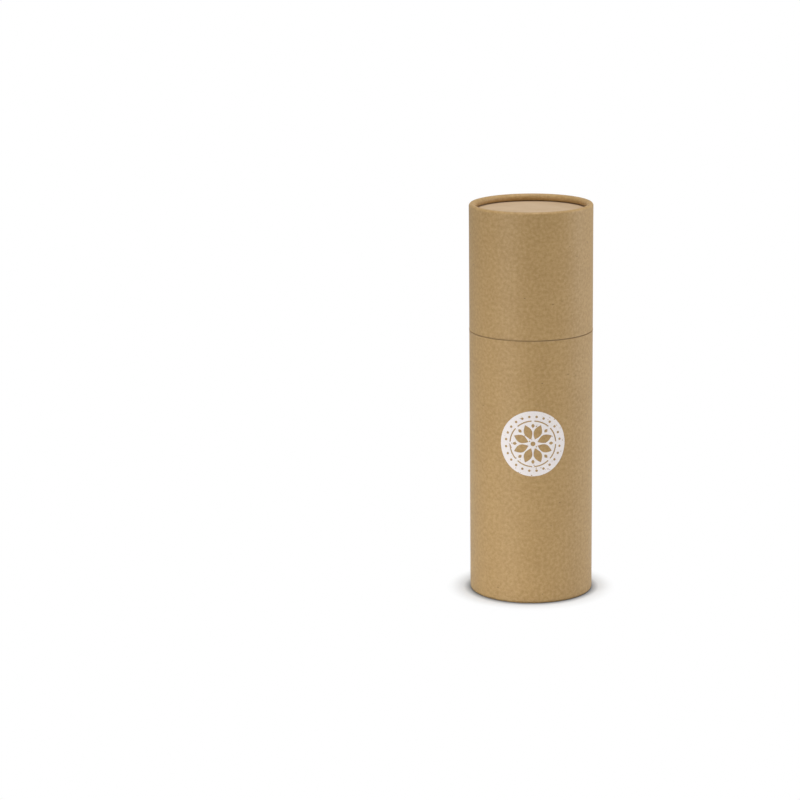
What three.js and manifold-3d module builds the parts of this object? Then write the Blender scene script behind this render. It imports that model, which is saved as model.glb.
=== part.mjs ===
// Gift tube: a round paperboard tube with a telescoping lid. The body is an outer sleeve with an
// inner neck tube glued inside it, and the lid slides down over the neck until its mouth meets the
// sleeve's shoulder. Each closed end is a board disc held behind a rim that is curled inwards.
// Units are millimetres, +Z is up, the origin is the middle of the foot rim on the floor, and the
// printed emblem faces -Y.

import * as THREE from "three";
import { mergeVertices } from "three/addons/utils/BufferGeometryUtils.js";
import Module from "manifold-3d";

// Overall sizes
const tubeDiameter = 88;
const bodyHeight = 190.5;
const lidHeight = 90.5;

// Board
const sleeveWall = 1.1;
const neckWall = 1.1;
const discThickness = 2;

// Fits
const neckClearance = 0.2;
const discClearance = 0.2;
const seamGap = 0.3;

// Curled rims: the board turns over its crest and rolls under itself in a bead that holds the disc
const rimRound = 1.8;
const rimLand = 0.6;
const rimDepth = 5.2;
const hookDegrees = 80;

// Neck
const neckRise = 19;
const neckRound = 1.5;
const neckLand = 0.4;
const neckBead = 1.6;

// Printed emblem
const emblemDiameter = 47;
const emblemHeight = 117;
const inkThickness = 0.15;
const inkClearance = 0.05;
const inkBandMargin = 1;
const petalCount = 8;
const petalInner = 3.4;
const petalOuter = 14.6;
const petalHalfWidth = 2.9;
const leafInner = 11.4;
const leafHalfWidth = 1.1;
const heartRadius = 1.7;
const arcInner = 16;
const arcWidth = 0.9;
const arcBridgeDegrees = 7;
const dotCount = 24;
const dotCentreRadius = 19.6;
const dotRadius = 0.9;

// Facets
const mergeDistance = 1e-4;
const facetsAround = 72;
const crestSteps = 3;
const beadSteps = 5;
const dotSides = 8;
const petalSteps = 4;
const arcSteps = 5;

// Sizes that follow
const sleeveRadius = tubeDiameter / 2;
const neckRadius = sleeveRadius - sleeveWall - neckClearance;
const discRadius = sleeveRadius - sleeveWall - discClearance;
const totalHeight = bodyHeight + lidHeight;
const rimBead = (rimDepth - discClearance) / 2;
const neckFoot = rimDepth + discThickness + discClearance;
const neckTop = bodyHeight + neckRise;

const kraftPaper = { color: 0xaa8e62, roughness: 0.85, metalness: 0 };
const neckPaper = { color: 0xa88a5e, roughness: 0.85, metalness: 0 };
const discBoard = { color: 0xc7ad8f, roughness: 0.88, metalness: 0 };
const whiteInk = { color: 0xece6dc, roughness: 0.7, metalness: 0 };

const gift_tube = new THREE.Group();

function addPiece(name, geometry, finish) {
  const mesh = new THREE.Mesh(geometry, new THREE.MeshStandardMaterial(finish));
  mesh.name = name;
  gift_tube.add(mesh);
  return mesh;
}

function arcPoints(centreR, centreZ, radius, fromDegrees, toDegrees, steps) {
  const points = [];
  for (let i = 0; i <= steps; i += 1) {
    const angle = THREE.MathUtils.degToRad(THREE.MathUtils.lerp(fromDegrees, toDegrees, i / steps));
    points.push([centreR + radius * Math.cos(angle), centreZ + radius * Math.sin(angle)]);
  }
  return points;
}

// Turns a section of [radius, height] points about the Z axis.
function turned(section) {
  const points = section.map(([radius, height]) => new THREE.Vector2(radius, height));
  const geometry = new THREE.LatheGeometry(points, facetsAround);
  geometry.rotateX(Math.PI / 2);
  return geometry;
}

// A tube of board whose crest is curled inwards at height 0 and whose raw edge is at height length.
// Past the crest's flat land the board rolls into a bead, at one thickness throughout.
function curledTube({ radius, wall, length, round, land, bead }) {
  const crestCentre = radius - round;
  const beadCentre = crestCentre - land;
  const rolled = -180 - hookDegrees;
  const section = [
    [radius, length],
    ...arcPoints(crestCentre, round, round, 0, -90, crestSteps),
    ...arcPoints(beadCentre, bead, bead, -90, rolled, beadSteps),
    ...arcPoints(beadCentre, bead, bead - wall, rolled, -90, beadSteps - 2),
    ...arcPoints(crestCentre, round, round - wall, -90, 0, crestSteps - 1),
    [radius - wall, length],
    [radius, length],
  ];
  return turned(section.reverse());
}

function disc() {
  return turned([
    [0, 0],
    [discRadius, 0],
    [discRadius, discThickness],
    [0, discThickness],
  ]);
}

// Body: the sleeve stands on its curled rim, with the disc and then the neck tube above it
addPiece("body_sleeve", curledTube({
  radius: sleeveRadius,
  wall: sleeveWall,
  length: bodyHeight,
  round: rimRound,
  land: rimLand,
  bead: rimBead,
}), kraftPaper);

const baseDisc = addPiece("base_disc", disc(), discBoard);
baseDisc.position.z = rimDepth;

const neck = addPiece("neck_tube", curledTube({
  radius: neckRadius,
  wall: neckWall,
  length: neckTop - neckFoot,
  round: neckRound,
  land: neckLand,
  bead: neckBead,
}), neckPaper);
neck.rotation.x = Math.PI;
neck.position.z = neckTop;

// Lid: the same curled tube upside down, with its disc under the rim
const lidSleeve = addPiece("lid_sleeve", curledTube({
  radius: sleeveRadius,
  wall: sleeveWall,
  length: lidHeight - seamGap,
  round: rimRound,
  land: rimLand,
  bead: rimBead,
}), kraftPaper);
lidSleeve.rotation.x = Math.PI;
lidSleeve.position.z = totalHeight;

const lidDisc = addPiece("lid_disc", disc(), discBoard);
lidDisc.position.z = totalHeight - rimDepth - discThickness;

// Emblem: a round print with its ornament left out of the ink, laid around the sleeve

// Where a point of the flat print, across and up from its middle, lies as seen from the front.
function laidAround(across, up) {
  const angle = across / sleeveRadius;
  return new THREE.Vector2(sleeveRadius * Math.sin(angle), up);
}

function polar(radius, degrees) {
  const angle = THREE.MathUtils.degToRad(degrees);
  return [radius * Math.cos(angle), radius * Math.sin(angle)];
}

function outline(points) {
  return points.map(([across, up]) => laidAround(across, up));
}

function ring(across, up, radius, sides) {
  const points = [];
  for (let i = 0; i < sides; i += 1) {
    const [x, y] = polar(radius, (360 * i) / sides);
    points.push([across + x, up + y]);
  }
  return outline(points);
}

// A lens with pointed ends, lying along a ray from the middle of the print.
function petal(inner, outer, halfWidth, degrees) {
  const points = [];
  for (let side = 1; side >= -1; side -= 2) {
    for (let i = 0; i < 2 * petalSteps; i += 1) {
      const share = side > 0 ? i / (2 * petalSteps) : 1 - i / (2 * petalSteps);
      const along = THREE.MathUtils.lerp(inner, outer, share);
      const aside = side * halfWidth * Math.sin(Math.PI * share);
      const turn = THREE.MathUtils.degToRad(degrees);
      points.push([
        along * Math.cos(turn) - aside * Math.sin(turn),
        along * Math.sin(turn) + aside * Math.cos(turn),
      ]);
    }
  }
  return outline(points);
}

function arcBand(inner, outer, fromDegrees, toDegrees) {
  const points = [];
  for (let i = 0; i <= arcSteps; i += 1) {
    points.push(polar(outer, THREE.MathUtils.lerp(fromDegrees, toDegrees, i / arcSteps)));
  }
  for (let i = 0; i <= arcSteps; i += 1) {
    points.push(polar(inner, THREE.MathUtils.lerp(toDegrees, fromDegrees, i / arcSteps)));
  }
  return outline(points);
}

function emblemShape() {
  const shape = new THREE.Shape(ring(0, 0, emblemDiameter / 2, facetsAround));
  const cutOut = (points) => shape.holes.push(new THREE.Path(points));
  const petalPitch = 360 / petalCount;
  cutOut(ring(0, 0, heartRadius, dotSides));
  for (let i = 0; i < petalCount; i += 1) {
    const degrees = petalPitch * i + petalPitch / 2;
    cutOut(petal(petalInner, petalOuter, petalHalfWidth, degrees));
    cutOut(petal(leafInner, petalOuter, leafHalfWidth, degrees + petalPitch / 2));
    cutOut(arcBand(
      arcInner,
      arcInner + arcWidth,
      degrees - petalPitch / 2 + arcBridgeDegrees / 2,
      degrees + petalPitch / 2 - arcBridgeDegrees / 2,
    ));
  }
  for (let i = 0; i < dotCount; i += 1) {
    const [across, up] = polar(dotCentreRadius, (360 * (i + 0.5)) / dotCount);
    cutOut(ring(across, up, dotRadius, dotSides));
  }
  return shape;
}

const wasm = await Module();
wasm.setup();

function solidOf(geometry) {
  const bare = geometry.clone();
  bare.deleteAttribute("normal");
  bare.deleteAttribute("uv");
  const merged = mergeVertices(bare.index ? bare.toNonIndexed() : bare, mergeDistance);
  return new wasm.Manifold(new wasm.Mesh({
    numProp: 3,
    vertProperties: new Float32Array(merged.attributes.position.array),
    triVerts: new Uint32Array(merged.index.array),
  }));
}

function geometryOf(solid) {
  const mesh = solid.getMesh();
  const geometry = new THREE.BufferGeometry();
  geometry.setAttribute("position", new THREE.BufferAttribute(mesh.vertProperties, 3));
  geometry.setIndex(new THREE.BufferAttribute(mesh.triVerts, 1));
  geometry.computeVertexNormals();
  return geometry;
}

// The film of ink is a band around the sleeve, kept only where the print's outline passes through
// its front half.
function emblemGeometry() {
  const inkInside = sleeveRadius + inkClearance;
  const inkOutside = inkInside + inkThickness;
  const bandHalf = emblemDiameter / 2 + inkBandMargin;
  const band = turned([
    [inkInside, -bandHalf],
    [inkOutside, -bandHalf],
    [inkOutside, bandHalf],
    [inkInside, bandHalf],
    [inkInside, -bandHalf],
  ]);
  const prism = new THREE.ExtrudeGeometry(emblemShape(), { depth: tubeDiameter, bevelEnabled: false });
  prism.rotateX(Math.PI / 2);
  return geometryOf(solidOf(band).intersect(solidOf(prism)));
}

const emblem = addPiece("printed_emblem", emblemGeometry(), whiteInk);
emblem.position.z = emblemHeight;

export default gift_tube;
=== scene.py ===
"""Closed gift tube of kraft paperboard: a body and a telescoping lid with curled rims, board discs,
an inner neck tube and a worn white print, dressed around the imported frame."""

import math
import random

import bmesh
import bpy
import numpy as np
from mathutils import Matrix, Vector


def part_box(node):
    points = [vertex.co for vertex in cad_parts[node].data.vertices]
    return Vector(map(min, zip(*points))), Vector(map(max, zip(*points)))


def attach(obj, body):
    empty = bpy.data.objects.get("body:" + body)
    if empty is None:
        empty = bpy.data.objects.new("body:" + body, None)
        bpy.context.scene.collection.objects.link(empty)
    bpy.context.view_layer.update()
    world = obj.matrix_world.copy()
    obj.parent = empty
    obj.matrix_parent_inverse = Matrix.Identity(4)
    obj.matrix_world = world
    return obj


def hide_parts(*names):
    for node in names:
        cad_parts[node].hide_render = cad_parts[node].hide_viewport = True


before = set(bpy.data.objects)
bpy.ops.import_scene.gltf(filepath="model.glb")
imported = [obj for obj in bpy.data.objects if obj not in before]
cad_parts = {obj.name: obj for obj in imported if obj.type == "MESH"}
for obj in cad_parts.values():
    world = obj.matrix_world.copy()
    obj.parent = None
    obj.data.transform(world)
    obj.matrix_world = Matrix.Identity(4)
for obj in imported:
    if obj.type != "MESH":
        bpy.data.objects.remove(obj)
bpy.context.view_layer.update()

MM = 0.001

# Sizes read from the frame
_, sleeve_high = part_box("body_sleeve")
lid_low, lid_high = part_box("lid_sleeve")
neck_low, neck_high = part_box("neck_tube")
base_disc_low, base_disc_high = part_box("base_disc")
lid_disc_low, lid_disc_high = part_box("lid_disc")
emblem_low, emblem_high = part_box("printed_emblem")
SLEEVE_RADIUS = sleeve_high.x
NECK_RADIUS = neck_high.x
DISC_RADIUS = base_disc_high.x

# Board and curls, as in the solids
WALL = 1.1 * MM
RIM_ROUND = 1.8 * MM
RIM_LAND = 0.6 * MM
RIM_BEAD = 2.5 * MM
NECK_ROUND = 1.5 * MM
NECK_LAND = 0.4 * MM
NECK_BEAD = 1.6 * MM
HOOK_DEGREES = 80.0

# Fine form that only the dressed pieces have
WRAP_STEP = 0.12 * MM
WRAP_RISE_DEGREES = (0.12, 0.3)
WRAP_LAP_DEGREES = 8.0
WRAP_FADE_DEGREES = 14.0
EDGE_ROUND = 0.3 * MM
HOOK_EDGE_SHARE = 0.12
PLEAT_DEPTH = 0.16 * MM
PLEAT_PITCH = 2.3 * MM
OUT_OF_ROUND = 0.03 * MM
ROUND_AGAIN = 12 * MM
DISC_EDGE_ROUND = 0.35 * MM
DISC_SAG = 0.15 * MM
DISC_UNEVEN = 0.05 * MM
PLY_PITCH = 0.32 * MM
COLUMNS = 288

# The lap of each sleeve's outer paper, as an azimuth from the front
BODY_LAP = 187.0
LID_LAP = 171.0
NECK_LAP = 160.0

MAP_NAME = "Paper"


def smooth(low, high, x):
    """Runs from 0 at low to 1 at high along an S."""
    t = np.clip((x - low) / (high - low), 0.0, 1.0)
    return t * t * (3.0 - 2.0 * t)


def arc(centre_r, centre_z, radius, start, end, steps):
    angles = np.radians(np.linspace(start, end, steps + 1))
    return [(centre_r + radius * math.cos(a), centre_z + radius * math.sin(a)) for a in angles]


def between(a, b, count, ease=False):
    """Points strictly between a and b, crowded towards both ends if eased."""
    shares = [(i + 1) / (count + 1) for i in range(count)]
    if ease:
        shares = [0.5 - 0.5 * math.cos(math.pi * s) for s in shares]
    return [(a[0] + (b[0] - a[0]) * s, a[1] + (b[1] - a[1]) * s) for s in shares]


def curled_section(radius, wall, length, crest, land, bead):
    """Closed section of a tube of board whose crest, at height 0, is curled inwards and rolled into
    a bead. Gives the points and a label for each: wall, curl, bead, void, inside or edge."""
    crest_r = radius - crest
    bead_r = crest_r - land
    rolled = -180 - HOOK_DEGREES
    bevel = EDGE_ROUND
    parts = [
        ("edge", arc(radius - bevel, length - bevel, bevel, 90, 0, 4)),
        ("wall", between((radius, length - bevel), (radius, crest), 36, ease=True)),
        ("curl", arc(crest_r, crest, crest, 0, -90, 14)),
        ("bead", arc(bead_r, bead, bead, -90, rolled, 26)),
        ("edge", arc(bead_r, bead, bead - HOOK_EDGE_SHARE * wall, rolled, rolled, 0)),
        ("edge", arc(bead_r, bead, bead - (1 - HOOK_EDGE_SHARE) * wall, rolled, rolled, 0)),
        ("void", arc(bead_r, bead, bead - wall, rolled, -90, 12)),
        ("void", arc(crest_r, crest, crest - wall, -90, 0, 6)),
        ("inside", between((radius - wall, crest), (radius - wall, length - bevel), 36, ease=True)),
        ("edge", arc(radius - wall + bevel, length - bevel, bevel, 180, 90, 4)),
    ]
    points = [p for _, run in parts for p in run]
    labels = [label for label, run in parts for _ in run]
    return np.array(points), labels


def columns_round(lap_degrees):
    """Azimuths of the mesh columns, counted from the lap, with two close ones for its step."""
    even = np.linspace(0.0, 360.0, COLUMNS, endpoint=False)
    extra = [*WRAP_RISE_DEGREES, WRAP_LAP_DEGREES]
    turn = np.unique(np.round(np.concatenate([even, extra]), 6))
    return turn, np.radians(turn + lap_degrees)


def wobble(azimuth, height, seed):
    """A sum of long waves, between about -1 and 1, for how far a wound tube is from round."""
    rng = random.Random(seed)
    total = np.zeros(np.broadcast(azimuth, height).shape)
    for waves in (2, 3, 5, 8):
        phase = rng.uniform(0, 2 * math.pi)
        twist = rng.uniform(-9, 9)
        total = total + np.sin(waves * azimuth + twist * height + phase) / waves
    return total


def pleats(azimuth, radius, seed):
    """Uneven small crimps around a curl, between 0 and 1: where the turned board had to crowd."""
    rng = random.Random(seed)
    count = round(2 * math.pi * radius / PLEAT_PITCH)
    edges = np.cumsum([rng.uniform(0.55, 1.45) for _ in range(count)])
    edges = np.concatenate([[0.0], edges]) * 2 * math.pi / edges[-1]
    depth = np.array([rng.uniform(0.15, 1.0) ** 1.4 for _ in range(count)])
    place = np.mod(azimuth, 2 * math.pi)
    cell = np.clip(np.searchsorted(edges, place, side="right") - 1, 0, count - 1)
    share = (place - edges[cell]) / (edges[cell + 1] - edges[cell])
    bulge = 0.6 + 0.4 * np.sin(math.pi * share ** 0.6)
    return depth[cell] * (np.sin(math.pi * share) ** 2) * bulge


def new_piece(name, mesh, *materials):
    piece = bpy.data.objects.new(name, mesh)
    bpy.context.scene.collection.objects.link(piece)
    for material in materials:
        mesh.materials.append(material)
    return piece


def mesh_from_grid(name, points, quads, uvs, material_index):
    mesh = bpy.data.meshes.new(name)
    mesh.from_pydata(points.tolist(), [], quads.tolist())
    layer = mesh.uv_layers.new(name=MAP_NAME)
    layer.uv.foreach_set("vector", uvs.astype(np.float32).ravel())
    mesh.polygons.foreach_set("material_index", material_index.astype(np.int32))
    mesh.polygons.foreach_set("use_smooth", np.ones(len(quads), dtype=bool))
    mesh.update()
    return mesh


def curled_tube(
        name, radius, wall, length, crest, land, bead, lap, crest_up, crest_z, seed, finishes):
    """A curled tube of board as one closed mesh. finishes are its paper and raw-edge materials."""
    section, labels = curled_section(radius, wall, length, crest, land, bead)
    turn, azimuth = columns_round(lap)
    rows, columns = len(section), len(turn)
    run = np.concatenate([[0.0], np.cumsum(np.linalg.norm(np.diff(section, axis=0), axis=1))])
    closing = float(np.linalg.norm(section[0] - section[-1]))

    r = np.repeat(section[None, :, 0], columns, axis=0)
    z = np.repeat(section[None, :, 1], columns, axis=0)
    phi = np.repeat(azimuth[:, None], rows, axis=1)

    out_facing = np.array([label == "wall" for label in labels]) * 1.0
    curl = np.array([label == "curl" for label in labels]) * 1.0
    rolled = np.array([label == "bead" for label in labels]) * 1.0
    outer_curl = curl * (section[:, 0] > radius - wall) * smooth(0.0, 0.6 * wall, section[:, 1])

    # The wrap's loose end lies over its start: a small step, faded out around the tube
    fade_end = WRAP_LAP_DEGREES + WRAP_FADE_DEGREES
    lap_rise = smooth(*WRAP_RISE_DEGREES, turn) * (1 - smooth(WRAP_LAP_DEGREES, fade_end, turn))
    skin = np.maximum(out_facing, outer_curl)[None, :]
    r = r - skin * WRAP_STEP * (1 - lap_rise[:, None])
    uneven = OUT_OF_ROUND * wobble(phi, z / length, seed) - OUT_OF_ROUND
    r = r + uneven * out_facing[None, :] * smooth(0.0, ROUND_AGAIN, np.minimum(z, length - z))

    # Crimps run from the crest's inner side down the bead
    depth_down = np.clip(section[:, 1] / (2 * bead), 0, 1)
    strength = rolled * smooth(0.0, 0.35, depth_down) * (0.75 + 0.25 * depth_down)
    crimps = pleats(phi + 0.02 * depth_down[None, :], radius, seed + 1)
    r = r + PLEAT_DEPTH * strength[None, :] * crimps

    z_row = crest_z + (-z if crest_up else z)
    points = np.stack([r * np.sin(phi), -r * np.cos(phi), z_row], axis=-1).reshape(-1, 3)

    i = np.repeat(np.arange(columns), rows)
    j = np.tile(np.arange(rows), columns)
    i_next, j_next = (i + 1) % columns, (j + 1) % rows
    here, beside = i * rows, i_next * rows
    corners = np.stack([here + j, beside + j, beside + j_next, here + j_next], axis=1)
    u = np.append(np.radians(turn), 2 * math.pi) * SLEEVE_RADIUS
    v = np.append(run, run[-1] + closing)
    uv = np.stack([
        np.stack([u[i], v[j]], axis=1),
        np.stack([u[i + 1], v[j]], axis=1),
        np.stack([u[i + 1], v[j + 1]], axis=1),
        np.stack([u[i], v[j + 1]], axis=1),
    ], axis=1)
    order = [0, 1, 2, 3] if crest_up else [3, 2, 1, 0]
    raw = np.array([labels[a] == "edge" and labels[(a + 1) % rows] == "edge" for a in range(rows)])
    mesh = mesh_from_grid(name, points, corners[:, order], uv[:, order], raw[j])
    return new_piece(name, mesh, *finishes)


def board_disc(name, radius, low, high, sag, seed, finishes):
    """A cut disc of board, rounded at its edge and a little dished, as one closed mesh."""
    half = (high - low) / 2
    bevel = DISC_EDGE_ROUND
    top = [(radius * s, high) for s in np.linspace(0.02, 1 - bevel / radius, 26)]
    rim = arc(radius - bevel, high - bevel, bevel, 90, 0, 4)[1:]
    rim += arc(radius - bevel, low + bevel, bevel, 0, -90, 4)
    bottom = [(p[0], low) for p in reversed(top)]
    section = np.array(top + rim + bottom)
    turn = np.linspace(0, 2 * math.pi, COLUMNS, endpoint=False)
    rows, columns = len(section), len(turn)
    r = np.repeat(section[None, :, 0], columns, axis=0)
    z = np.repeat(section[None, :, 1], columns, axis=0)
    phi = np.repeat(turn[:, None], rows, axis=1)
    share = r / radius
    dish = (1 - share ** 2) * (sag + DISC_UNEVEN * wobble(phi, share, seed) * share)
    z = z - np.clip(dish, -0.8 * half, 0.8 * half)
    points = np.stack([r * np.sin(phi), -r * np.cos(phi), z], axis=-1).reshape(-1, 3)
    middle = np.array([[0, 0, high - sag], [0, 0, low - sag]])
    points = np.concatenate([points, middle])
    i = np.repeat(np.arange(columns), rows - 1)
    j = np.tile(np.arange(rows - 1), columns)
    i_next = (i + 1) % columns
    here, beside = i * rows + j, i_next * rows + j
    quads = np.stack([here, here + 1, beside + 1, beside], axis=1)
    around = np.arange(columns)
    around_next = (around + 1) % columns
    centre = columns * rows
    last = rows - 1
    caps = [(centre, a * rows, b * rows) for a, b in zip(around, around_next)]
    caps += [(centre + 1, b * rows + last, a * rows + last) for a, b in zip(around, around_next)]
    mesh = bpy.data.meshes.new(name)
    mesh.from_pydata(points.tolist(), [], quads.tolist() + caps)
    cut_edge = np.zeros(len(mesh.polygons), dtype=np.int32)
    cut_edge[: len(quads)] = (j >= len(top) - 1) & (j < len(top) + len(rim) - 1)
    mesh.polygons.foreach_set("material_index", cut_edge)
    mesh.polygons.foreach_set("use_smooth", np.ones(len(mesh.polygons), dtype=bool))
    layer = mesh.uv_layers.new(name=MAP_NAME)
    flat = np.array([points[loop.vertex_index][:2] for loop in mesh.loops])
    layer.uv.foreach_set("vector", flat.astype(np.float32).ravel())
    mesh.update()
    return new_piece(name, mesh, *finishes)


# Emblem: the same ornament as the solid's, with fine outlines

EMBLEM_RADIUS = (emblem_high.z - emblem_low.z) / 2
EMBLEM_Z = (emblem_high.z + emblem_low.z) / 2
INK_LOW = 0.01 * MM
INK_HIGH = 0.07 * MM
PETALS = 8
PETAL = (3.4 * MM, 14.6 * MM, 2.9 * MM)
LEAF = (11.4 * MM, 14.6 * MM, 1.1 * MM)
HEART = 1.7 * MM
ARC_BAND = (16.0 * MM, 16.9 * MM)
ARC_BRIDGE = 7.0
DOTS = 24
DOT_CIRCLE = 19.6 * MM
DOT = 0.9 * MM
INK_STRIP = 0.8 * MM


def circle_points(x, y, radius, count):
    angles = np.linspace(0, 2 * math.pi, count, endpoint=False)
    return [(x + radius * math.cos(a), y + radius * math.sin(a)) for a in angles]


def petal_points(inner, outer, half_width, degrees, steps=20):
    turn = math.radians(degrees)
    shares = [i / steps for i in range(steps)]
    path = [(s, 1) for s in shares] + [(1 - s, -1) for s in shares]
    points = []
    for share, side in path:
        along = inner + (outer - inner) * share
        aside = side * half_width * math.sin(math.pi * share)
        points.append((
            along * math.cos(turn) - aside * math.sin(turn),
            along * math.sin(turn) + aside * math.cos(turn),
        ))
    return points


def band_points(inner, outer, start, end, steps=16):
    angles = np.radians(np.linspace(start, end, steps + 1))
    points = [(outer * math.cos(a), outer * math.sin(a)) for a in angles]
    return points + [(inner * math.cos(a), inner * math.sin(a)) for a in reversed(angles)]


def emblem_outlines():
    pitch = 360 / PETALS
    outlines = [circle_points(0, 0, EMBLEM_RADIUS, 180), circle_points(0, 0, HEART, 32)]
    for i in range(PETALS):
        degrees = pitch * (i + 0.5)
        outlines.append(petal_points(*PETAL, degrees))
        outlines.append(petal_points(*LEAF, degrees + pitch / 2, 12))
        outlines.append(band_points(
            *ARC_BAND, degrees - pitch / 2 + ARC_BRIDGE / 2, degrees + pitch / 2 - ARC_BRIDGE / 2))
    for i in range(DOTS):
        a = 2 * math.pi * (i + 0.5) / DOTS
        outlines.append(circle_points(DOT_CIRCLE * math.cos(a), DOT_CIRCLE * math.sin(a), DOT, 20))
    return outlines


def flat_print(name):
    """The print as a flat, closed sheet cut into narrow strips, so that it can be laid round."""
    curve = bpy.data.curves.new(name + "_outline", "CURVE")
    curve.dimensions = "2D"
    curve.fill_mode = "BOTH"
    curve.extrude = (INK_HIGH - INK_LOW) / 2
    for outline in emblem_outlines():
        spline = curve.splines.new("POLY")
        spline.points.add(len(outline) - 1)
        for point, (x, y) in zip(spline.points, outline):
            point.co = (x, y, 0, 1)
        spline.use_cyclic_u = True
    holder = bpy.data.objects.new(name + "_outline", curve)
    bpy.context.scene.collection.objects.link(holder)
    mesh = bpy.data.meshes.new_from_object(holder)
    bpy.data.objects.remove(holder)
    bpy.data.curves.remove(curve)
    bm = bmesh.new()
    bm.from_mesh(mesh)
    bpy.data.meshes.remove(mesh)
    bmesh.ops.remove_doubles(bm, verts=bm.verts, dist=0.001 * MM)
    strips = int(EMBLEM_RADIUS / INK_STRIP)
    for i in range(-strips, strips + 1):
        geometry = bm.verts[:] + bm.edges[:] + bm.faces[:]
        bmesh.ops.bisect_plane(
            bm, geom=geometry, plane_co=(i * INK_STRIP, 0, 0), plane_no=(1, 0, 0), dist=1e-7)
    bmesh.ops.recalc_face_normals(bm, faces=bm.faces)
    return bm


def print_on_sleeve(name, material):
    bm = flat_print(name)
    layer = bm.loops.layers.uv.new(MAP_NAME)
    lap = math.radians(BODY_LAP)
    skin_radius = SLEEVE_RADIUS - WRAP_STEP
    rise = (INK_HIGH + INK_LOW) / 2
    for face in bm.faces:
        for loop in face.loops:
            x, y, _ = loop.vert.co
            around = (x / SLEEVE_RADIUS - lap) % (2 * math.pi)
            loop[layer].uv = (around * SLEEVE_RADIUS, sleeve_high.z - (EMBLEM_Z + y))
        face.smooth = abs(face.normal.z) > 0.5
    for vert in bm.verts:
        x, y, up = vert.co
        angle = x / SLEEVE_RADIUS
        radius = skin_radius + rise + up
        vert.co = (radius * math.sin(angle), -radius * math.cos(angle), EMBLEM_Z + y)
    bmesh.ops.recalc_face_normals(bm, faces=bm.faces)
    mesh = bpy.data.meshes.new(name)
    bm.to_mesh(mesh)
    bm.free()
    return new_piece(name, mesh, material)


# Materials


def linear(red, green, blue):
    """A colour given as 0 to 255 on a screen, as the shader takes it."""
    def channel(value):
        c = value / 255
        return c / 12.92 if c <= 0.04045 else ((c + 0.055) / 1.055) ** 2.4
    return (channel(red), channel(green), channel(blue), 1.0)


class Nodes:
    """A short way to write a material's nodes."""

    def __init__(self, name):
        self.material = bpy.data.materials.new(name)
        self.material.use_nodes = True
        self.tree = self.material.node_tree
        self.tree.nodes.clear()

    def add(self, kind, inputs=None, **settings):
        node = self.tree.nodes.new(kind)
        for key, value in settings.items():
            setattr(node, key, value)
        for key, value in (inputs or {}).items():
            if isinstance(value, bpy.types.NodeSocket):
                self.tree.links.new(value, node.inputs[key])
            else:
                node.inputs[key].default_value = value
        return node

    def math(self, operation, a, b=0.0, c=0.0):
        return self.add("ShaderNodeMath", {0: a, 1: b, 2: c}, operation=operation).outputs[0]

    def ramp(self, value, low, high, out_low=0.0, out_high=1.0):
        node = self.add("ShaderNodeMapRange", {
            "Value": value, "From Min": low, "From Max": high,
            "To Min": out_low, "To Max": out_high})
        return node.outputs["Result"]

    def stretched(self, vector, x, y, z=1.0, turn=0.0):
        node = self.add("ShaderNodeMapping", {
            "Vector": vector, "Scale": (x, y, z), "Rotation": (0, 0, turn)})
        return node.outputs["Vector"]

    def noise(self, vector, scale, detail=2.0, roughness=0.5):
        node = self.add("ShaderNodeTexNoise", {
            "Vector": vector, "Scale": scale, "Detail": detail, "Roughness": roughness})
        return node.outputs["Fac"]

    def mix(self, fac, a, b, blend="MIX"):
        node = self.add("ShaderNodeMix", {0: fac, 6: a, 7: b}, data_type="RGBA", blend_type=blend)
        return node.outputs[2]

    def half_and_half(self, a, b):
        return self.math("ADD", self.math("MULTIPLY", a, 0.5), self.math("MULTIPLY", b, 0.5))

    def spots(self, vector, scale, chosen_from, chosen_to, near_from, near_to):
        """Round spots in some of the cells of a pattern."""
        cells = self.add("ShaderNodeTexVoronoi", {"Vector": vector, "Scale": scale})
        draw = self.add("ShaderNodeSeparateColor", {0: cells.outputs["Color"]}).outputs[0]
        chosen = self.ramp(draw, chosen_from, chosen_to)
        near = self.ramp(cells.outputs["Distance"], near_from, near_to, 1.0, 0.0)
        return self.math("MULTIPLY", chosen, near)

    def finish(self, colour, roughness, height, bump, bump_distance, specular=0.35, sheen=0.0):
        bumped = self.add("ShaderNodeBump", {
            "Height": height, "Strength": bump, "Distance": bump_distance})
        shader = self.add("ShaderNodeBsdfPrincipled", {
            "Base Color": colour, "Roughness": roughness, "Normal": bumped.outputs["Normal"],
            "Specular IOR Level": specular, "Sheen Weight": sheen, "Sheen Roughness": 0.6})
        output = self.add("ShaderNodeOutputMaterial")
        self.tree.links.new(shader.outputs[0], output.inputs["Surface"])
        return self.material


def paper_map(nodes):
    return nodes.add("ShaderNodeUVMap", uv_map=MAP_NAME).outputs["UV"]


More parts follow.
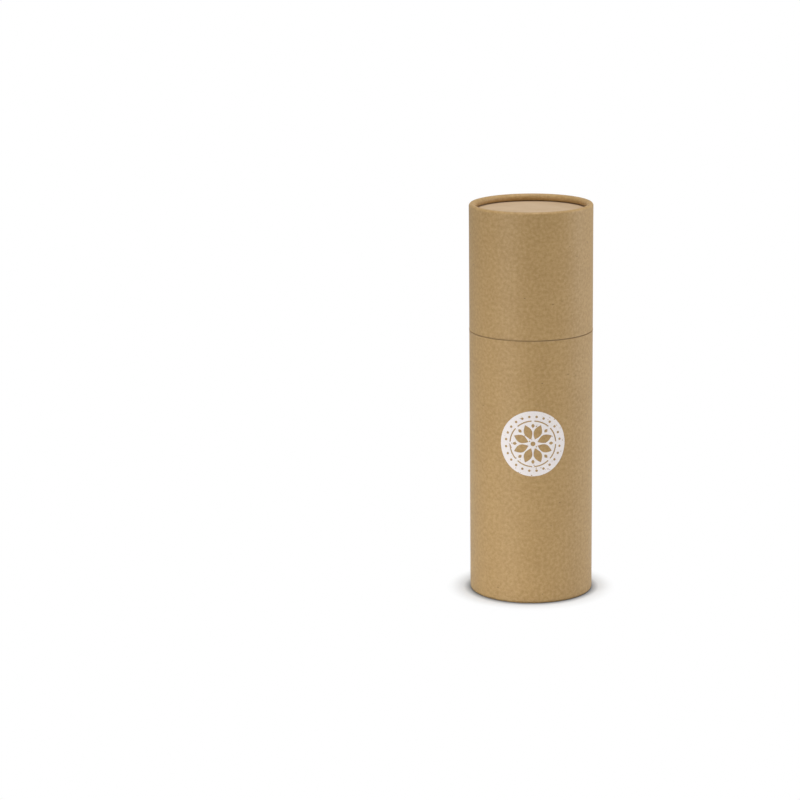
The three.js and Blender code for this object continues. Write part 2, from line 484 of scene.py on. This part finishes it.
def kraft(nodes, vector, base, light, dark, speck):
    """Colour and height of kraft paper: clouds, mottling, crossed fibres and flecks of bark."""
    clouds = nodes.noise(vector, 55.0, 3.0)
    mottle = nodes.noise(vector, 420.0, 5.0, 0.62)
    grain = nodes.noise(vector, 2300.0, 3.0, 0.6)
    long_fibres = nodes.noise(nodes.stretched(vector, 420.0, 2600.0), 1.0, 3.0, 0.6)
    cross_fibres = nodes.noise(nodes.stretched(vector, 2400.0, 520.0, turn=0.35), 1.0, 3.0, 0.6)
    colour = nodes.mix(nodes.ramp(clouds, 0.3, 0.7), dark, light)
    colour = nodes.mix(0.8, colour, base)
    colour = nodes.mix(nodes.ramp(mottle, 0.5, 0.66, 0.0, 0.68), colour, light)
    colour = nodes.mix(nodes.ramp(mottle, 0.5, 0.36, 0.0, 0.68), colour, dark)
    colour = nodes.mix(nodes.ramp(grain, 0.5, 0.72, 0.0, 0.6), colour, dark)
    colour = nodes.mix(nodes.ramp(long_fibres, 0.6, 0.72, 0.0, 0.55), colour, light)
    colour = nodes.mix(nodes.ramp(cross_fibres, 0.62, 0.74, 0.0, 0.6), colour, dark)
    flecks = nodes.spots(nodes.stretched(vector, 1.0, 1.6), 150.0, 0.88, 0.9, 0.05, 0.12)
    colour = nodes.mix(nodes.math("MULTIPLY", flecks, 0.75), colour, speck)
    return colour, nodes.half_and_half(grain, long_fibres)


KRAFT_BASE = linear(173, 140, 89)
KRAFT_LIGHT = linear(187, 155, 105)
KRAFT_DARK = linear(157, 124, 73)
KRAFT_SPECK = linear(104, 78, 48)


def kraft_paper():
    nodes = Nodes("kraft_paper")
    vector = paper_map(nodes)
    colour, height = kraft(nodes, vector, KRAFT_BASE, KRAFT_LIGHT, KRAFT_DARK, KRAFT_SPECK)
    roughness = nodes.ramp(height, 0.3, 0.7, 0.46, 0.6)
    return nodes.finish(colour, roughness, height, 0.35, 0.08 * MM, specular=0.45, sheen=0.05)


def neck_paper():
    nodes = Nodes("neck_paper")
    vector = paper_map(nodes)
    base, light, dark = linear(171, 139, 92), linear(182, 152, 105), linear(157, 125, 78)
    colour, height = kraft(nodes, vector, base, light, dark, KRAFT_SPECK)
    roughness = nodes.ramp(height, 0.3, 0.7, 0.66, 0.8)
    return nodes.finish(colour, roughness, height, 0.35, 0.08 * MM, specular=0.25, sheen=0.05)


def disc_board():
    """Uncoated board with a straight grain, paler and pinker than the wrap. The paleness is partly
    the board's own and partly painted light, standing in for the extra light on the disc's
    up-facing top and its grazing sheen.
    """
    nodes = Nodes("disc_board")
    vector = paper_map(nodes)
    # Painted light in part: these colours are set paler than the board alone, for the light on the
    # disc's up-facing top and its grazing sheen
    light, base, dark = linear(196, 171, 140), linear(188, 162, 130), linear(174, 147, 114)
    clouds = nodes.noise(vector, 60.0, 3.0)
    streaks = nodes.noise(nodes.stretched(vector, 150.0, 1900.0, turn=0.12), 1.0, 5.0, 0.65)
    grain = nodes.noise(vector, 2600.0, 3.0, 0.6)
    fibres = nodes.noise(nodes.stretched(vector, 500.0, 3400.0, turn=-0.3), 1.0, 3.0, 0.6)
    colour = nodes.mix(nodes.ramp(clouds, 0.35, 0.65), dark, light)
    colour = nodes.mix(0.55, colour, base)
    colour = nodes.mix(nodes.ramp(streaks, 0.35, 0.6, 0.0, 0.5), colour, light)
    colour = nodes.mix(nodes.ramp(streaks, 0.55, 0.7, 0.0, 0.4), colour, dark)
    colour = nodes.mix(nodes.ramp(grain, 0.55, 0.75, 0.0, 0.45), colour, dark)
    colour = nodes.mix(nodes.ramp(fibres, 0.63, 0.73, 0.0, 0.5), colour, light)
    height = nodes.half_and_half(grain, streaks)
    roughness = nodes.ramp(height, 0.3, 0.7, 0.7, 0.84)
    return nodes.finish(colour, roughness, height, 0.35, 0.08 * MM, specular=0.25, sheen=0.05)


def raw_board():
    """Cut edge of wound board, where its plies show as thin rings."""
    nodes = Nodes("raw_board")
    place = nodes.add("ShaderNodeTexCoord").outputs["Object"]
    axes = nodes.add("ShaderNodeSeparateXYZ", {0: place})
    squares = nodes.math(
        "ADD",
        nodes.math("MULTIPLY", axes.outputs[0], axes.outputs[0]),
        nodes.math("MULTIPLY", axes.outputs[1], axes.outputs[1]),
    )
    radius = nodes.math("SQRT", squares)
    plies = nodes.math("SINE", nodes.math("MULTIPLY", radius, 2 * math.pi / PLY_PITCH))
    fuzz = nodes.noise(place, 1800.0, 4.0, 0.65)
    # Painted shade in part: the ply rings are the board's own, but the edge's colours are held
    # darker, for the shaded seam gap between lid and body
    colour = nodes.mix(nodes.ramp(plies, -0.6, 0.9), linear(132, 102, 66), linear(184, 156, 117))
    colour = nodes.mix(nodes.ramp(fuzz, 0.35, 0.7, 0.0, 0.6), colour, linear(160, 131, 93))
    height = nodes.math("ADD", nodes.math("MULTIPLY", plies, 0.3), fuzz)
    roughness = nodes.ramp(fuzz, 0.3, 0.7, 0.8, 0.92)
    return nodes.finish(colour, roughness, height, 0.6, 0.1 * MM, specular=0.2)


def white_ink():
    """Thin white print that has missed the low spots of the paper and rubbed off in places."""
    nodes = Nodes("white_ink")
    vector = paper_map(nodes)
    paper, height = kraft(nodes, vector, KRAFT_BASE, KRAFT_LIGHT, KRAFT_DARK, KRAFT_SPECK)
    tooth = nodes.noise(vector, 1500.0, 4.0, 0.7)
    patches = nodes.noise(vector, 130.0, 3.0, 0.6)
    rubs = nodes.noise(nodes.stretched(vector, 160.0, 1500.0, turn=0.5), 1.0, 4.0, 0.6)
    wear = nodes.math(
        "ADD", nodes.math("MULTIPLY", tooth, 0.65), nodes.math("MULTIPLY", patches, 0.4))
    worn = nodes.ramp(wear, 0.64, 0.69)
    rubbed = nodes.ramp(rubs, 0.66, 0.71, 0.0, 0.8)
    spots = nodes.spots(vector, 620.0, 0.7, 0.74, 0.2, 0.38)
    pinholes = nodes.math("MULTIPLY", spots, nodes.ramp(patches, 0.44, 0.58))
    bare = nodes.math("MAXIMUM", nodes.math("MAXIMUM", worn, rubbed), pinholes)
    thin = nodes.ramp(tooth, 0.45, 0.75, 0.03, 0.3)
    bare = nodes.math("MAXIMUM", bare, thin)
    colour = nodes.mix(bare, linear(236, 230, 229), paper)
    roughness = nodes.ramp(bare, 0.0, 1.0, 0.55, 0.75)
    return nodes.finish(colour, roughness, height, 0.3, 0.06 * MM, specular=0.35)


def white_floor():
    """A white sheet that keeps the shadow around the object and runs out to plain white. It is
    darker in a thin ring at the foot, a painted shadow standing in for the tight shadow where the
    tube meets the sheet."""
    nodes = Nodes("white_floor")
    place = nodes.add("ShaderNodeTexCoord").outputs["Object"]
    away = nodes.add("ShaderNodeVectorMath", {0: place}, operation="LENGTH").outputs["Value"]
    out = nodes.ramp(away, FADE_START, FADE_END)
    out.node.interpolation_type = "SMOOTHSTEP"
    seen = nodes.add("ShaderNodeLightPath").outputs["Is Camera Ray"]
    fac = nodes.math("MULTIPLY", out, seen)
    # Painted shadow: the sheet's colour is darkened in a thin ring just outside the tube's foot
    painted_shadow_ring = nodes.ramp(away, PAINTED_SHADOW_START, PAINTED_SHADOW_END)
    colour = nodes.mix(painted_shadow_ring, PAINTED_SHADOW_COLOUR, SHEET_COLOUR)
    sheet = nodes.add("ShaderNodeBsdfDiffuse", {"Color": colour})
    plain = nodes.add("ShaderNodeEmission", {"Color": (1, 1, 1, 1), "Strength": 1.0})
    shown = nodes.add("ShaderNodeMixShader", {0: fac, 1: sheet.outputs[0], 2: plain.outputs[0]})
    output = nodes.add("ShaderNodeOutputMaterial")
    nodes.tree.links.new(shown.outputs[0], output.inputs["Surface"])
    return nodes.material


# Camera: tilted down at the tube and turned and rolled a little, as fitted to the tube's outline in
# the photograph, with the tube right of the middle

FRAME_PIXELS = 800
SENSOR = 36.0
FOCAL_PIXELS = 2867.2
CAMERA_DISTANCE = 2.0
CAMERA_HEIGHT = 0.6019
CAMERA_AZIMUTH = -1.83
CAMERA_YAW = -2.685
CAMERA_PITCH = 13.033
CAMERA_ROLL = -0.594


def add_camera():
    data = bpy.data.cameras.new("camera")
    data.sensor_width = SENSOR
    data.lens = FOCAL_PIXELS * SENSOR / FRAME_PIXELS
    data.clip_start = 0.05
    data.clip_end = 40
    camera = bpy.data.objects.new("camera", data)
    bpy.context.scene.collection.objects.link(camera)
    azimuth, yaw, pitch, roll = (
        math.radians(a) for a in (CAMERA_AZIMUTH, CAMERA_YAW, CAMERA_PITCH, CAMERA_ROLL))
    forward = Vector(
        (math.sin(yaw) * math.cos(pitch), math.cos(yaw) * math.cos(pitch), -math.sin(pitch)))
    level = Vector((math.cos(yaw), -math.sin(yaw), 0))
    upright = level.cross(forward)
    right = math.cos(roll) * level + math.sin(roll) * upright
    up = -math.sin(roll) * level + math.cos(roll) * upright
    turn = Matrix((right, up, -forward)).transposed().to_4x4()
    spin = Matrix.Rotation(azimuth, 4, "Z")
    place = Matrix.Translation((0, -CAMERA_DISTANCE, CAMERA_HEIGHT))
    camera.matrix_world = spin @ place @ turn
    bpy.context.scene.camera = camera


# Studio: a white sky, a soft lamp above and each side, and a narrow one for the foot on the left

FLOOR_HALF = 6.0
FADE_START = 0.043
FADE_END = 0.062
# The painted shadow: where the darker ring on the floor starts and ends, and its colour
PAINTED_SHADOW_START = 0.0425
PAINTED_SHADOW_END = 0.049
PAINTED_SHADOW_COLOUR = (0.26, 0.27, 0.29, 1)
SHEET_COLOUR = (0.84, 0.86, 0.88, 1)
WORLD_STRENGTH = 0.365

# Each lamp's name, place, aim, size, watts and spread in degrees
TUBE_MIDDLE = (0, 0, 0.14)
BELOW_FOOT = (0, 0, -0.06)
LAMPS = (
    ("left_lamp", (-1.1, -1.15, 0.3), TUBE_MIDDLE, (0.35, 0.5), 5.2, 180.0),
    ("foot_lamp", (-1.1, -1.15, 0.3), BELOW_FOOT, (0.35, 0.5), 0.2, 20.0),
    ("right_lamp", (1.5, 0.1, 0.5), TUBE_MIDDLE, (0.5, 0.9), 9.8, 180.0),
    ("top_lamp", (0.0, -0.1, 1.4), TUBE_MIDDLE, (0.7, 0.7), 10.1, 180.0),
)


def area_lamp(name, place, aim, size, watts, spread):
    data = bpy.data.lights.new(name, "AREA")
    data.shape = "RECTANGLE"
    data.size, data.size_y = size
    data.energy = watts
    data.spread = math.radians(spread)
    lamp = bpy.data.objects.new(name, data)
    bpy.context.scene.collection.objects.link(lamp)
    lamp.location = place
    lamp.rotation_mode = "QUATERNION"
    lamp.rotation_quaternion = (Vector(aim) - Vector(place)).to_track_quat("-Z", "Y")


def add_studio():
    world = bpy.data.worlds.new("studio")
    bpy.context.scene.world = world
    world.use_nodes = True
    tree = world.node_tree
    tree.nodes.clear()
    path = tree.nodes.new("ShaderNodeLightPath")
    light = tree.nodes.new("ShaderNodeBackground")
    light.inputs["Strength"].default_value = WORLD_STRENGTH
    shown = tree.nodes.new("ShaderNodeBackground")
    shown.inputs["Strength"].default_value = 1.0
    for background in (light, shown):
        background.inputs["Color"].default_value = (1, 1, 1, 1)
    chosen = tree.nodes.new("ShaderNodeMixShader")
    output = tree.nodes.new("ShaderNodeOutputWorld")
    tree.links.new(path.outputs["Is Camera Ray"], chosen.inputs[0])
    tree.links.new(light.outputs[0], chosen.inputs[1])
    tree.links.new(shown.outputs[0], chosen.inputs[2])
    tree.links.new(chosen.outputs[0], output.inputs["Surface"])

    mesh = bpy.data.meshes.new("floor")
    half = FLOOR_HALF
    corners = [(-half, -half, 0), (half, -half, 0), (half, half, 0), (-half, half, 0)]
    mesh.from_pydata(corners, [], [(0, 1, 2, 3)])
    floor = new_piece("floor", mesh, white_floor())

    for lamp in LAMPS:
        area_lamp(*lamp)


add_camera()
add_studio()

paper = kraft_paper()
inner_paper = neck_paper()
# The discs' board: its paleness is partly painted light for their lit, up-facing tops
board = disc_board()
edge = raw_board()
ink = white_ink()

body_sleeve = curled_tube(
    "tube_body_sleeve", SLEEVE_RADIUS, WALL, sleeve_high.z, RIM_ROUND, RIM_LAND, RIM_BEAD,
    BODY_LAP, False, 0.0, 11, (paper, edge))
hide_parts("body_sleeve")
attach(body_sleeve, "base")

neck_tube = curled_tube(
    "tube_neck", NECK_RADIUS, WALL, neck_high.z - neck_low.z, NECK_ROUND, NECK_LAND, NECK_BEAD,
    NECK_LAP, True, neck_high.z, 23, (inner_paper, edge))
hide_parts("neck_tube")
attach(neck_tube, "base")

lid_sleeve = curled_tube(
    "tube_lid_sleeve", SLEEVE_RADIUS, WALL, lid_high.z - lid_low.z, RIM_ROUND, RIM_LAND, RIM_BEAD,
    LID_LAP, True, lid_high.z, 37, (paper, edge))
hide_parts("lid_sleeve")
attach(lid_sleeve, "lid")

base_disc = board_disc(
    "tube_base_disc", DISC_RADIUS, base_disc_low.z, base_disc_high.z, -DISC_SAG, 41, (board, edge))
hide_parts("base_disc")
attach(base_disc, "base")

lid_disc = board_disc(
    "tube_lid_disc", DISC_RADIUS, lid_disc_low.z, lid_disc_high.z, DISC_SAG, 43, (board, edge))
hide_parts("lid_disc")
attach(lid_disc, "lid")

emblem = print_on_sleeve("tube_printed_emblem", ink)
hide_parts("printed_emblem")
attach(emblem, "base")

bpy.context.scene.view_settings.view_transform = "Standard"
